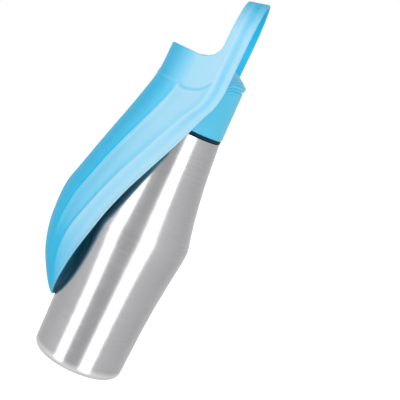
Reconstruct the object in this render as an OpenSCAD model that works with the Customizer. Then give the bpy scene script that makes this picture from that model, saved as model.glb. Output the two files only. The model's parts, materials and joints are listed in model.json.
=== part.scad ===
/* [Bottle] */
// Widest radius of the steel bottle
belly_r = 40.7; // [39:0.1:41]
// Height of the widest part
belly_z = 109; // [106:1:112]
// Radius just above the rounded foot
foot_r = 34.3; // [33:0.1:35]
// Radius of the foot's rounded corner
foot_corner = 5; // [4:0.5:7]
// Height of the weld between the base cup and the shell
weld_z = 9.5; // [9:0.5:12]
// Radius of the shoulder under the head
shoulder_r = 27.5; // [27.2:0.1:27.6]
// Height of the shoulder
shoulder_z = 191.7; // [190:0.1:192]
// Thickness of the steel
steel_t = 0.8; // [0.6:0.1:1]
// Outer radius of the neck
neck_r = 20.5; // [20.3:0.1:20.6]
// Height of the bottle's mouth
mouth_z = 204.5; // [204:0.1:204.6]

/* [Screw thread] */
// Rise of the thread in one turn
pitch = 4; // [3.5:0.1:4.5]
// Turns of thread on the neck and in the head
thread_turns = 1.5; // [1:0.25:1.5]
// Height of the ridge above the neck
ridge_h = 1.4; // [1:0.1:1.4]
// Width of the ridge at its foot
ridge_w = 1.6; // [1.2:0.1:1.7]

/* [Head] */
// Outer radius of the screw-on head at its foot
head_r = 27.7; // [27.6:0.1:27.8]
// Outer radius of the head at its top
head_top_r = 26.7; // [26.6:0.1:26.8]
// Radius of the lip round the head's top
lip_r = 27.3; // [27:0.1:27.5]
// Height of the lip's upper edge
lip_z = 235.6; // [235:0.1:236]
// Height of the joint between the head and its top
deck_z = 231.5; // [231:0.1:232]
// Height of the middle of the domed top
dome_z = 246.2; // [245:0.1:247]
// Thickness of the head's wall
head_t = 2.2; // [2:0.1:2.4]
// Thickness of the dark ring between bottle and head
ring_t = 2.3; // [2:0.1:2.5]

/* [Valve and button] */
// Height of the valve's axis
valve_z = 222.5; // [222:0.1:223]
// Radius of the valve stem
stem_r = 2; // [1.8:0.1:2.2]
// Radius of the push-button
button_r = 5.9; // [5.5:0.1:6]
// How far the button travels
button_travel = 3; // [2:0.1:3.2]
// Radius of the water outlet
outlet_r = 3; // [2.5:0.1:3]
// Wire diameter of the return spring
wire_d = 0.7; // [0.5:0.05:0.8]
// Turns of the return spring
spring_turns = 6; // [5:0.5:7]

/* [Trough] */
// Height of the hinge axis
hinge_z = 218; // [217:0.1:219]
// Radius of the hinge pins
pin_r = 2.5; // [2:0.1:3]
// Thickness of the trough's wall
wall_t = 2.2; // [2:0.1:2.3]
// Thickness of the wall at the tip
tip_t = 1.7; // [1.5:0.1:2]
// Height of the trough's tip
tip_z = 38; // [37.9:0.1:39]
// Half width of the trough at its widest, without its lip
scoop_half = 37; // [36.5:0.1:38]
// Half width of the collar that holds the head
collar_half = 31.6; // [31.5:0.1:32]
// Height of the carry loop's top
loop_z = 294.2; // [288:0.1:300]
// Radius of the corner between collar and carry loop
fillet_r = 13; // [10:0.5:13]

/* [Hidden] */

$fn = 96;
steel = [0.70, 0.71, 0.72];
sky = [0.40, 0.77, 0.92];
pale_sky = [0.62, 0.86, 0.95];
navy = [0.03, 0.16, 0.24];
rubber_grey = [0.85, 0.87, 0.88];
white_resin = [0.90, 0.92, 0.94];
far = 300;

// Head, worked out from the driving dimensions
skirt_z = shoulder_z + ring_t;
ridge_crest = neck_r + ridge_h;
skirt_in = ridge_crest + 0.6;
female_crest = neck_r + 0.5;
thread_z = skirt_z + 1.8;
flange_z = mouth_z + 2;
flange_t = 3;
flange_r = female_crest - 0.3;
web_z = flange_z + flange_t;
web_t = 2.5;
web_in = 18.3;
cavity_r = head_top_r - head_t;
face_r = head_r + (head_top_r - head_r) * (valve_z - skirt_z) / (deck_z - skirt_z);
boss_x = 13;
boss_y = 8.3;
boss_r = 2.6;
boss_top = 241;
screw_r = 1.2;
screw_l = 10;
screw_head_r = 2.2;
screw_head_t = 1.4;
bezel_r = button_r + 1.3;
bezel_in = button_r + 0.1;
running = 0.05;
seam_gap = 0.9;
seam_deep = 0.7;
spigot_t = 1.5;
spigot_deep = 1.3;
lip_chamfer = 0.6;

// Dome of the head's top: a ball that passes through the lip's edge and the edge of the flat seat
seat_r = 7;
dome_edge = lip_r - lip_chamfer;
dome_low = lip_z + lip_chamfer;
dome_centre = (dome_z + dome_low) / 2 - (pow(dome_edge, 2) - pow(seat_r, 2)) / (2 * (dome_z - dome_low));
dome_ball = norm([seat_r, dome_z - dome_centre]);
dome_steps = 5;
function dome_point(i, depth) =
  let (r = seat_r + (dome_edge - depth * 2 - seat_r) * i / dome_steps)
  [r, dome_centre + sqrt(pow(dome_ball - depth, 2) - r * r)];

// Valve, along Y from the button at the front to the plug at the rear
cap_front = -face_r - 0.9;
cap_back = -20.5;
stem_front = -25.4;
block_r = 8.5;
block_front = -11;
block_back = 16;
gland_back = -8.8;
guide_front = -5.8;
front_chamber = -3.4;
seat_front = 3.2;
seat_back = 5;
chamber_r = 6;
gland_r = 3.6;
poppet_r = 4.8;
disc_front = seat_back + 0.9;
disc_back = disc_front + 1.5;
plug_front = disc_back + button_travel + 2.2;
inlet_y = 9;
inlet_r = 3.6;
chimney_r = 4.2;
chimney_z = 239;
vent_y = -15.2;
vent_r = 1.5;
plinth_half = 6.5;
plinth_front = block_front + 3;
washer_in = 18.2;
plug_head_t = 1.2;
grip_r = 3;
grip_deep = 0.6;
spout_wall = 1.35;
spout_cover = 4;
spout_flange_t = 0.8;
spout_proud = 1.4;
cap_edge = 0.5;
cap_wall = 0.9;
cap_skin = 2;

// Hinge
pin_boss_r = 5;
pin_in = 20;
pin_out = 29.25;
bush_in = 27.5;
bush_out = collar_half - wall_t;
bush_r = 6;

// Trough outline: [height, how far forward or back], read from the side
tip_pole = tip_z - 0.3;
spine = [[38, -38.2], [52, -47.3], [68, -55.7], [82, -60], [95, -62], [118, -62.2], [136, -57.8],
         [166, -49.7], [192, -42.3], [214, -36.6], [220, -35.5], [225, -34.5], [243, -34.2]];
rim = [[38, -37.6], [60, -34], [79, -30.8], [98, -26.4], [117, -21.7], [129, -18], [140, -14.2],
       [150, -10.2], [158, -6.9], [170, -2], [180, 2.2], [195, 7.8], [203, 10.3], [217, 14], [234, 16.5],
       [243, 17.3]];
// Length of the flat side behind the rounded front, and how far the lip turns out
side = [[38, 0.4], [60, 2.5], [79, 5], [117, 9], [158, 13], [195, 20], [217, 26.7], [243, 28.9]];
lip = [[38, 0.3], [60, 1.2], [90, 2.4], [117, 2.8], [158, 2.8], [195, 2], [222, 0.9], [243, 0.9]];
wall = [[38, tip_t], [60, wall_t], [243, wall_t]];

// Carry loop
loop_front = 2.4;
loop_back = 17.3;
collar_back = -12;
collar_top = 244.3;
loop_centre = loop_z - collar_half;

// Counts of columns and rows in the trough's skin
front_cols = 10;
fillet_cols = 6;
loop_cols = 4;
low_rows = 9;
mid_rows = 13;
top_rows = 5;
loop_rows = 24;
level_z = 232;

// Smooth curve through a list of [height, value] points
function knot_slope(p, i) =
  i == 0 ? (p[1][1] - p[0][1]) / (p[1][0] - p[0][0])
  : i == len(p) - 1 ? (p[i][1] - p[i - 1][1]) / (p[i][0] - p[i - 1][0])
  : (p[i + 1][1] - p[i - 1][1]) / (p[i + 1][0] - p[i - 1][0]);
function span(p, z, i = 0) = i >= len(p) - 2 || z < p[i + 1][0] ? i : span(p, z, i + 1);
function through(p, z_any) =
  let (z = min(max(z_any, p[0][0]), p[len(p) - 1][0]),
       i = span(p, z), h = p[i + 1][0] - p[i][0], t = (z - p[i][0]) / h,
       m0 = knot_slope(p, i) * h, m1 = knot_slope(p, i + 1) * h)
  (1 + 2 * t) * pow(1 - t, 2) * p[i][1] + t * pow(1 - t, 2) * m0
  + t * t * (3 - 2 * t) * p[i + 1][1] + t * t * (t - 1) * m1;

// Half width of the trough: a quarter ellipse up from the tip, then an ease into the collar
function half_width(z) =
  z < belly_z ? scoop_half * sqrt(1 - pow((belly_z - z) / (belly_z - tip_pole), 2))
  : z < hinge_z
  ? collar_half + (scoop_half - collar_half) * (1 + cos(180 * (z - belly_z) / (hinge_z - belly_z))) / 2
  : collar_half;

// Columns: 0 is the spine, then the rounded front, then the flat side out to the rim
fillet_start = loop_front - fillet_r;
function share_at(y) = (y - collar_back) / (loop_back - collar_back);
side_share = concat(
  [share_at(fillet_start)],
  [for (i = [1:fillet_cols]) share_at(fillet_start + fillet_r * sin(90 * i / fillet_cols))],
  [for (i = [1:loop_cols]) share_at(loop_front + (loop_back - loop_front) * i / loop_cols)]
);
half_cols = front_cols + len(side_share);
loop_col = front_cols + fillet_cols + 1;

// A point of the outer skin, and its outward direction
function skin(j, z) =
  let (b = half_width(z), yr = through(rim, z), yc = yr - through(side, z), ys = through(spine, z))
  j <= front_cols
  ? let (a = 90 * j / front_cols) [b * sin(a), yc - (yc - ys) * cos(a), z]
  : let (s = side_share[j - front_cols - 1]) [b + through(lip, z) * s * s, yc + (yr - yc) * s, z];
function across(j, z) =
  let (a = 90 * j / front_cols, yr = through(rim, z), yc = yr - through(side, z))
  j <= front_cols
  ? [half_width(z) * cos(a), (yc - through(spine, z)) * sin(a), 0]
  : [2 * through(lip, z) * side_share[j - front_cols - 1], yr - yc, 0];
function unit(v) = v / norm(v);
function outward(j, z) = unit(cross(across(j, z), skin(j, z + 0.5) - skin(j, z)));
function inner_skin(j, z) = skin(j, z) - through(wall, z) * outward(j, z);
function mirror_x(p, side_sign) = [side_sign * p[0], p[1], p[2]];

// Height of row r in column j: level rows, then rows that climb into the carry loop
rows = low_rows + mid_rows + top_rows;
function top_at(j) =
  j <= front_cols + 1 ? collar_top
  : j >= loop_col ? collar_top + fillet_r
  : collar_top + fillet_r * (1 - cos(90 * (j - front_cols - 1) / fillet_cols));
first_angle = acos((belly_z - tip_z) / (belly_z - tip_pole));
function row_z(r, j) =
  r <= low_rows ? belly_z - (belly_z - tip_pole) * cos(first_angle + (90 - first_angle) * r / low_rows)
  : r <= low_rows + mid_rows ? belly_z + (level_z - belly_z) * (r - low_rows) / mid_rows
  : level_z + (top_at(j) - level_z) * (r - low_rows - mid_rows) / top_rows;

cols = 2 * half_cols + 1;
sheet_points = [for (inner = [0, 1]) for (r = [0:rows]) for (c = [0:cols - 1])
  let (j = abs(c - half_cols), z = row_z(r, j), p = inner == 0 ? skin(j, z) : inner_skin(j, z))
  mirror_x(p, sign(c - half_cols))];
sheet_count = (rows + 1) * cols;

// Carry loop: from the right leg over the top to the left leg
function loop_point(k, m, inner) =
  let (j = loop_col + m, p = inner == 0 ? skin(j, collar_top) : inner_skin(j, collar_top),
       a = 180 * k / loop_rows)
  [p[0] * cos(a), p[1], loop_centre + p[0] * sin(a)];
loop_points = [for (inner = [0, 1]) for (k = [0:loop_rows]) for (m = [0:loop_cols]) loop_point(k, m, inner)];
loop_count = (loop_rows + 1) * (loop_cols + 1);

function sheet_id(inner, r, c) = inner * sheet_count + r * cols + c;
function loop_id(inner, k, m) =
  k < 0 ? sheet_id(inner, rows, half_cols + loop_col + m)
  : k > loop_rows ? sheet_id(inner, rows, half_cols - loop_col - m)
  : 2 * sheet_count + inner * loop_count + k * (loop_cols + 1) + m;
function quad(a, b, c, d) = [[a, b, c], [a, c, d]];
function sheet_quad(inner, r, c) =
  let (a = sheet_id(inner, r, c), b = sheet_id(inner, r + 1, c),
       d = sheet_id(inner, r, c + 1), e = sheet_id(inner, r + 1, c + 1))
  inner == 0 ? quad(a, b, e, d) : quad(a, d, e, b);
function loop_quad(inner, k, m) =
  let (a = loop_id(inner, k, m), b = loop_id(inner, k + 1, m),
       d = loop_id(inner, k, m + 1), e = loop_id(inner, k + 1, m + 1))
  inner == 0 ? quad(a, b, e, d) : quad(a, d, e, b);
function edge_quad(o1, o2, i1, i2) = quad(o1, o2, i2, i1);
function side_edge(r1, r2, c) =
  edge_quad(sheet_id(0, r1, c), sheet_id(0, r2, c), sheet_id(1, r1, c), sheet_id(1, r2, c));
function level_edge(r, c1, c2) =
  edge_quad(sheet_id(0, r, c1), sheet_id(0, r, c2), sheet_id(1, r, c1), sheet_id(1, r, c2));
function loop_edge(k1, k2, m) =
  edge_quad(loop_id(0, k1, m), loop_id(0, k2, m), loop_id(1, k1, m), loop_id(1, k2, m));
trough_faces = concat(
  [for (inner = [0, 1]) for (r = [0:rows - 1]) for (c = [0:cols - 2]) each sheet_quad(inner, r, c)],
  [for (inner = [0, 1]) for (k = [-1:loop_rows]) for (m = [0:loop_cols - 1]) each loop_quad(inner, k, m)],
  [for (r = [0:rows - 1]) each side_edge(r + 1, r, 0)],
  [for (r = [0:rows - 1]) each side_edge(r, r + 1, cols - 1)],
  [for (c = [0:cols - 2]) each level_edge(0, c, c + 1)],
  [for (c = [half_cols - loop_col:half_cols + loop_col - 1]) each level_edge(rows, c + 1, c)],
  [for (k = [-1:loop_rows]) each loop_edge(k + 1, k, 0)],
  [for (k = [-1:loop_rows]) each loop_edge(k, k + 1, loop_cols)]
);

// A tube or ridge swept along rings of points
module swept(rings) {
  n = len(rings[0]);
  last = len(rings) - 1;
  polyhedron(
    points = [for (ring = rings) each ring],
    faces = concat(
      [[for (k = [n - 1:-1:0]) k]],
      [[for (k = [0:n - 1]) last * n + k]],
      [for (i = [0:last - 1]) for (k = [0:n - 1])
        each quad(i * n + k, i * n + (k + 1) % n, (i + 1) * n + (k + 1) % n, (i + 1) * n + k)]
    )
  );
}

// Helical ridge between a root radius and a crest radius, fading in and out at its ends
thread_steps = 36;
module thread_ridge(root, crest, z0) {
  depth = crest - root;
  flip = depth > 0 ? 1 : -1;
  buried = root - flip * 0.3;
  swept([for (i = [0:thread_steps])
    let (a = 360 * thread_turns * i / thread_steps, zc = z0 + pitch * thread_turns * i / thread_steps,
         fade = min(1, 0.3 + min(i, thread_steps - i) / 4), tip = root + depth * fade)
    [for (q = [[buried, -ridge_w / 2], [tip, -ridge_w / 4], [tip, ridge_w / 4], [buried, ridge_w / 2]])
      let (w = flip * q[1]) [q[0] * cos(a), q[0] * sin(a), zc + w]]]);
}

module ring(r_in, r_out, z0, h) {
  translate([0, 0, z0]) rotate_extrude() translate([r_in, 0]) square([r_out - r_in, h]);
}

// A rod along Y at the valve's height
module valve_rod(r, y0, y1) {
  translate([0, y0, valve_z]) rotate([-90, 0, 0]) cylinder(r = r, h = y1 - y0);
}

module hinge_rod(r, x0, x1, hand) {
  translate([min(hand * x0, hand * x1), 0, hinge_z]) rotate([0, 90, 0]) cylinder(r = r, h = x1 - x0);
}

module at_screws() {
  for (x = [-boss_x, boss_x]) for (y = [-boss_y, boss_y]) translate([x, y, 0]) children();
}

// Radius of the steel outside at a height above the foot. Two curves meet at the widest part:
// [share of the height, share of the way from the first radius to the second]
foot_to_belly = [[0, 0], [0.15, 0.06], [0.28, 0.12], [0.42, 0.21], [0.56, 0.36], [0.7, 0.56], [0.82, 0.77],
                 [0.92, 0.94], [1, 1]];
belly_to_shoulder = [[0, 0], [0.06, 0.07], [0.14, 0.2], [0.24, 0.34], [0.38, 0.51], [0.53, 0.67],
                     [0.68, 0.8], [0.83, 0.9], [1, 1]];
function outside_r(z) = z < belly_z
  ? foot_r + (belly_r - foot_r) * through(foot_to_belly, (z - foot_corner) / (belly_z - foot_corner))
  : belly_r + (shoulder_r - belly_r)
    * through(belly_to_shoulder, (z - belly_z) / (shoulder_z - belly_z));
wall_points = concat(
  [for (share = [0.15, 0.35, 0.56, 0.76, 0.92]) foot_corner + share * (belly_z - foot_corner)],
  [for (share = [0, 0.06, 0.14, 0.26, 0.42, 0.6, 0.8]) belly_z + share * (shoulder_z - belly_z)]
);
wall_last = len(wall_points) - 1;
shoulder_round = 1.5;

module bottle_shell() {
  lip_r_in = neck_r - steel_t;
  color(steel) union() {
    rotate_extrude($fn = 112) polygon(concat(
      [[outside_r(weld_z), weld_z]],
      [for (z = wall_points) [outside_r(z), z]],
      [for (a = [0:30:90])
        [shoulder_r - shoulder_round * (1 - cos(a)), shoulder_z - shoulder_round * (1 - sin(a))]],
      [[neck_r, shoulder_z], [neck_r, mouth_z], [lip_r_in, mouth_z], [lip_r_in, shoulder_z - steel_t],
       [shoulder_r - shoulder_round - steel_t, shoulder_z - steel_t]],
      [for (i = [wall_last:-1:0]) [outside_r(wall_points[i]) - steel_t, wall_points[i]]],
      [[outside_r(weld_z) - steel_t, weld_z]]
    ));
    thread_ridge(neck_r, ridge_crest, thread_z);
  }
}

module bottle_base() {
  r = outside_r(weld_z);
  c = foot_corner;
  ci = c - steel_t;
  color(steel) rotate_extrude($fn = 112) polygon(concat(
    [[0, 0]],
    [for (a = [-90:15:0]) [foot_r - c + c * cos(a), c + c * sin(a)]],
    [[r, weld_z], [r - steel_t, weld_z]],
    [for (a = [0:-15:-90]) [foot_r - c + ci * cos(a), c + ci * sin(a)]],
    [[0, steel_t]]
  ));
}

module shoulder_gasket() {
  color(navy) ring(ridge_crest + 0.2, shoulder_r - 0.2, shoulder_z, ring_t);
}

module head_shell() {
  color(sky) union() {
    difference() {
      union() {
        rotate_extrude($fn = 128) polygon([
          [skirt_in, skirt_z], [head_r - 0.5, skirt_z], [head_r, skirt_z + 0.5],
          [head_top_r, deck_z - 0.5], [head_top_r - 0.5, deck_z], [cavity_r, deck_z],
          [cavity_r, web_z + web_t], [web_in, web_z + web_t],
          [web_in, web_z], [skirt_in, web_z]
        ]);
        for (hand = [-1, 1]) hinge_rod(pin_boss_r, pin_in, cavity_r + 0.8, hand);
        for (hand = [-1, 1]) hinge_rod(bush_r, cavity_r + 0.8, bush_in - 0.2, hand);
      }
      for (hand = [-1, 1]) hinge_rod(pin_r, pin_in - 1, bush_in + 1, hand);
      valve_rod(bezel_r, -far, cap_back);
    }
    rotate([0, 0, 180]) thread_ridge(skirt_in, female_crest, thread_z);
  }
}

module head_top() {
  hole_r = chimney_r + spout_wall + running;
  color(sky) difference() {
    union() {
      rotate_extrude($fn = 128) polygon(concat(
        [
          [cavity_r - spigot_t, deck_z - spigot_deep], [cavity_r - running, deck_z - spigot_deep],
          [cavity_r - running, deck_z], [head_top_r - seam_deep, deck_z],
          [head_top_r - seam_deep, deck_z + seam_gap], [head_top_r, deck_z + seam_gap + 0.5],
          [lip_r, lip_z - 1.2], [lip_r, lip_z]
        ],
        [for (i = [dome_steps:-1:0]) dome_point(i, 0)],
        [[0, dome_z], [0, dome_z - head_t]],
        [for (i = [0:dome_steps]) dome_point(i, head_t)],
        [[cavity_r - spigot_t, lip_z]]
      ));
      at_screws() translate([0, 0, web_z]) cylinder(r = boss_r, h = boss_top - web_z, $fn = 48);
    }
    translate([0, 0, chimney_z]) cylinder(r = hole_r, h = far, $fn = 64);
    at_screws() translate([0, 0, web_z - 1]) cylinder(r = screw_r, h = screw_l, $fn = 32);
  }
}

module valve_body() {
  color(white_resin) difference() {
    union() {
      translate([0, 0, flange_z]) cylinder(r = flange_r, h = flange_t);
      translate([-plinth_half, plinth_front, web_z - 1])
        cube([2 * plinth_half, block_back - 1 - plinth_front, valve_z - web_z + 1]);
      valve_rod(block_r, block_front, block_back);
      translate([0, 0, valve_z]) cylinder(r = chimney_r, h = chimney_z - valve_z, $fn = 64);
    }
    valve_rod(gland_r, block_front - 1, guide_front);
    valve_rod(stem_r + running, guide_front - 1, front_chamber + 1);
    valve_rod(chimney_r, front_chamber, seat_front);
    valve_rod(outlet_r + 0.2, seat_front - 1, seat_back + 1);
    valve_rod(chamber_r, seat_back, block_back + 1);
    translate([0, 0, valve_z]) cylinder(r = outlet_r, h = far, $fn = 64);
    translate([0, inlet_y, 0]) cylinder(r = inlet_r, h = valve_z, $fn = 64);
    translate([0, vent_y, 0]) cylinder(r = vent_r, h = valve_z - block_r - 2, $fn = 32);
    at_screws() cylinder(r = screw_r + 0.3, h = web_z + 0.5, $fn = 32);
    at_screws() cylinder(r = screw_head_r + 0.1, h = flange_z + screw_head_t + 0.1, $fn = 32);
  }
}

module sealing_washer() {
  color(rubber_grey) ring(washer_in, flange_r - 0.1, mouth_z, flange_z - mouth_z);
}

module valve_stem() {
  color(white_resin) union() {
    valve_rod(stem_r, stem_front, disc_back);
    valve_rod(poppet_r, disc_front, disc_back);
  }
}

module poppet_seal() {
  color(rubber_grey) difference() {
    valve_rod(poppet_r, seat_back + 0.02, disc_front);
    valve_rod(stem_r, seat_back - 1, disc_front + 1);
  }
}

// A rubber ring round the valve's axis
module o_ring(mean_r, section_r, y) {
  translate([0, y, valve_z]) rotate([90, 0, 0])
    rotate_extrude($fn = 64) translate([mean_r, 0]) circle(r = section_r, $fn = 32);
}

module stem_o_ring() {
  color(navy) o_ring(stem_r + 0.8, 0.77, guide_front - 1);
}

module gland_ring() {
  color(white_resin) difference() {
    valve_rod(gland_r, block_front, gland_back);
    valve_rod(stem_r + 0.15, block_front - 1, gland_back + 1);
  }
}

// Unbroken coil along Y, round the stem, between the button and the valve body
coil_r = 4.3;
coil_front = -25.1;
coil_steps = 14;
coil_sides = 6;
module return_spring() {
  free_run = block_front - coil_front - wire_d;
  steps = spring_turns * coil_steps;
  color(steel) swept([for (i = [0:steps])
    let (a = 360 * i / coil_steps, y = coil_front + wire_d / 2 + free_run * i / steps)
    [for (k = [0:coil_sides - 1])
      let (b = 360 * k / coil_sides, r = coil_r + wire_d / 2 * cos(b))
      [r * sin(a), y + wire_d / 2 * sin(b), valve_z + r * cos(a)]]]);
}

module chamber_plug() {
  color(white_resin) difference() {
    union() {
      valve_rod(chamber_r - running, plug_front, block_back);
      valve_rod(block_r - 1, block_back, block_back + plug_head_t);
    }
    o_ring(chamber_r - 0.6, 0.75, plug_front + 1.6);
    valve_rod(grip_r, block_back + plug_head_t - grip_deep, far);
  }
}

module plug_o_ring() {
  color(navy) o_ring(chamber_r - 0.75, 0.7, plug_front + 1.6);
}

module button_cap() {
  color(sky) difference() {
    union() {
      valve_rod(button_r - cap_edge, cap_front, cap_front + cap_edge);
      valve_rod(button_r, cap_front + cap_edge, cap_back);
    }
    difference() {
      valve_rod(button_r - cap_wall, cap_front + cap_skin, cap_back + 1);
      valve_rod(stem_r + 1, cap_front + 1, cap_back + 2);
    }
    valve_rod(stem_r, stem_front, cap_back + 1);
  }
}

module button_bezel() {
  color(sky) difference() {
    valve_rod(bezel_r, -face_r - 0.3, cap_back - 1);
    valve_rod(bezel_in, -far, far);
  }
}

module outlet_spout() {
  foot_z = chimney_z - spout_cover;
  color(pale_sky) difference() {
    union() {
      translate([0, 0, foot_z])
        cylinder(r = chimney_r + spout_wall, h = dome_z + spout_proud - foot_z, $fn = 64);
      translate([0, 0, dome_z]) cylinder(r = seat_r, h = spout_flange_t, $fn = 64);
    }
    translate([0, 0, foot_z - 1]) cylinder(r = chimney_r, h = spout_cover + 1, $fn = 64);
    cylinder(r = outlet_r, h = far, $fn = 64);
  }
}

// Lips that hang under the flange, a stem through it and a head on top
module vent_valve() {
  bore = 0.6;
  lips_z = flange_z - 4.5;
  head_r = vent_r + 0.9;
  head_z = web_z + 0.8;
  color(rubber_grey) translate([0, vent_y, 0]) rotate_extrude($fn = 48) polygon([
    [bore, lips_z + 0.5], [bore + 0.3, lips_z], [bore + 0.6, lips_z + 0.1], [vent_r + 0.4, flange_z],
    [vent_r, flange_z], [vent_r, web_z], [head_r, web_z], [head_r, head_z], [bore, head_z]
  ]);
}

module head_screws() {
  key_r = 0.9;
  color(steel) at_screws() difference() {
    union() {
      translate([0, 0, flange_z + 0.1]) cylinder(r = screw_head_r, h = screw_head_t, $fn = 48);
      translate([0, 0, flange_z + screw_head_t]) cylinder(r = screw_r, h = screw_l, $fn = 32);
    }
    translate([0, 0, flange_z]) cylinder(r = key_r, h = 0.9, $fn = 6);
  }
}

module pivot_pin(hand) {
  color(steel) hinge_rod(pin_r, pin_in, pin_out, hand);
}

module pivot_bush(hand) {
  color(sky) difference() {
    hinge_rod(bush_r, bush_in, bush_out, hand);
    hinge_rod(pin_r + running, bush_in - 1, bush_out + 1, hand);
  }
}

module trough() {
  color(pale_sky) polyhedron(points = concat(sheet_points, loop_points), faces = trough_faces, convexity = 6);
}

bottle_shell();
bottle_base();
shoulder_gasket();
head_shell();
head_top();
valve_body();
sealing_washer();
valve_stem();
poppet_seal();
stem_o_ring();
gland_ring();
return_spring();
chamber_plug();
plug_o_ring();
button_cap();
button_bezel();
outlet_spout();
vent_valve();
head_screws();
pivot_pin(-1);  // pivot_pin_left
pivot_pin(1);  // pivot_pin_right
pivot_bush(-1);  // pivot_bush_left
pivot_bush(1);  // pivot_bush_right
trough();
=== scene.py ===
# %% [markdown]
# A dog travel bottle: a brushed steel bottle, a blue screw-on head with a push-button valve,
# and a soft drinking trough that folds down over the front and carries a strap loop.
# The frame already holds every hard piece at its real size, and here each one gets its finish.
# Two pieces are modelled again: the soft trough, with the panels and ridges of the moulded
# piece, and the valve's spring, which has to shorten.

# %% Load the frame
import json
import math

import bpy
from mathutils import Matrix, Vector


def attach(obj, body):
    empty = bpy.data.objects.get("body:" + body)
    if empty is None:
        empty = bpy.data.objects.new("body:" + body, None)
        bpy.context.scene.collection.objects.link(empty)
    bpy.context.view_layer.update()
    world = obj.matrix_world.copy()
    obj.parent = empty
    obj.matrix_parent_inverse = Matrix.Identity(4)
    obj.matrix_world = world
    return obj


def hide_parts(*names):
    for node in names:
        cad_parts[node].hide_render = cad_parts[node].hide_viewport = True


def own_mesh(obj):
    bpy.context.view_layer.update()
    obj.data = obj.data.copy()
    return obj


MM = 0.001
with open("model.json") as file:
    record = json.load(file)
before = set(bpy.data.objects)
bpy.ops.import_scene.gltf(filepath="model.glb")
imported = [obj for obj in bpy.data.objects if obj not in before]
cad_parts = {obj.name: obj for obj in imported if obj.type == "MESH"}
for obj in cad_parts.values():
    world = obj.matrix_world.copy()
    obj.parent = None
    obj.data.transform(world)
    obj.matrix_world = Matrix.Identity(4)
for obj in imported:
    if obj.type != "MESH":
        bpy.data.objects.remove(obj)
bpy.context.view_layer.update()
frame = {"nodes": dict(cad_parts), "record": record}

# %% [markdown]
# The bottle stands upright on its foot. The picture was laid out with the bottle leaning to the
# right, so the lean belongs to the camera: it stands at the bottle's side, a little above, and
# rolls about its own axis. Its place came from fitting the bottle's rings in the picture.

# %% Camera
CAMERA_AZIMUTH = math.radians(93)
CAMERA_ELEVATION = math.radians(7.8)
CAMERA_ROLL = math.radians(25.76)
CAMERA_DISTANCE = 0.700
CAMERA_LENS = 86.4
CAMERA_SENSOR = 36
AIM = Vector((0, 0.0320, 0.1493))


def towards(azimuth, elevation):
    """Unit vector from the object to a place at this azimuth and elevation."""
    level = math.cos(elevation)
    return Vector((math.sin(azimuth) * level, -math.cos(azimuth) * level, math.sin(elevation)))


back = towards(CAMERA_AZIMUTH, CAMERA_ELEVATION)
level_right = Vector((math.cos(CAMERA_AZIMUTH), math.sin(CAMERA_AZIMUTH), 0))
level_up = back.cross(level_right)
right = level_right * math.cos(CAMERA_ROLL) + level_up * math.sin(CAMERA_ROLL)
up = back.cross(right)

camera_data = bpy.data.cameras.new("camera")
camera_data.lens = CAMERA_LENS
camera_data.sensor_width = CAMERA_SENSOR
camera = bpy.data.objects.new("camera", camera_data)
facing = Matrix((right, up, back)).transposed().to_4x4()
camera.matrix_world = Matrix.Translation(AIM + back * CAMERA_DISTANCE) @ facing
bpy.context.collection.objects.link(camera)
bpy.context.scene.camera = camera
print("camera at", [round(v, 4) for v in camera.matrix_world.translation])

# %% [markdown]
# A material is a handful of nodes. They could be added and linked one by one, but reading them
# is easiest when the maths between them is written as ordinary arithmetic. So a socket is
# wrapped in a small class whose operators add Math nodes.

# %% Shader arithmetic
class Value:
    """A node's output that can be used in arithmetic."""

    def __init__(self, finish, socket):
        self.finish = finish
        self.socket = socket

    def maths(self, operation, first, second=0):
        return self.finish.node("ShaderNodeMath", {"operation": operation}, {0: first, 1: second})

    def __add__(self, other):
        return self.maths("ADD", self, other)

    __radd__ = __add__

    def __mul__(self, other):
        return self.maths("MULTIPLY", self, other)

    __rmul__ = __mul__

    def __sub__(self, other):
        return self.maths("SUBTRACT", self, other)

    def __rsub__(self, other):
        return self.maths("SUBTRACT", other, self)

    def __abs__(self):
        return self.maths("ABSOLUTE", self)

    def at_least(self, other):
        return self.maths("MAXIMUM", self, other)

    def at_most(self, other):
        return self.maths("MINIMUM", self, other)

    def spread(self, low, high):
        """A value from 0 to 1 laid out between two others."""
        return self * (high - low) + low


# %% [markdown]
# A finish owns the nodes of one material. One method makes any node from its settings and its
# inputs, and short ones that use it give what most finishes here need: noise that follows the
# piece, a colour ramp, a mix of two colours, a bump, and the surface itself.

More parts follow.
